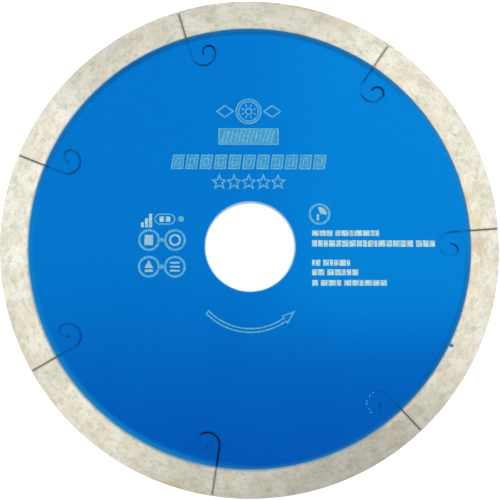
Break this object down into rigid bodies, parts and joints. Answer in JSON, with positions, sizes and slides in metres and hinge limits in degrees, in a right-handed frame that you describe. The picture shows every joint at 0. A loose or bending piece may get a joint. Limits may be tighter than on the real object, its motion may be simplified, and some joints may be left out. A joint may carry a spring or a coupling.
{
  "type": "diamond cutting disc",
  "caption": "Thin round steel cutting disc with a pale sintered diamond rim, hook-shaped relief slots through the rim and a central bore.",
  "frame": {"origin": "centre of the bore, halfway through the disc's thickness", "axes": "+Z along the bore, out of the printed front face; +Y is the print's upright direction and +X is to the right as the print is read"},
  "size_m": [0.125, 0.125, 0.0016],
  "materials": {
    "blue_enamel": "satin",
    "sintered_rim": "matte"
  },
  "bodies": {
    "root": {"steel_core": "blue_enamel", "rim_segment_1": "sintered_rim", "rim_segment_2": "sintered_rim", "rim_segment_3": "sintered_rim", "rim_segment_4": "sintered_rim", "rim_segment_5": "sintered_rim", "rim_segment_6": "sintered_rim", "rim_segment_7": "sintered_rim"}
  },
  "joints": []
}
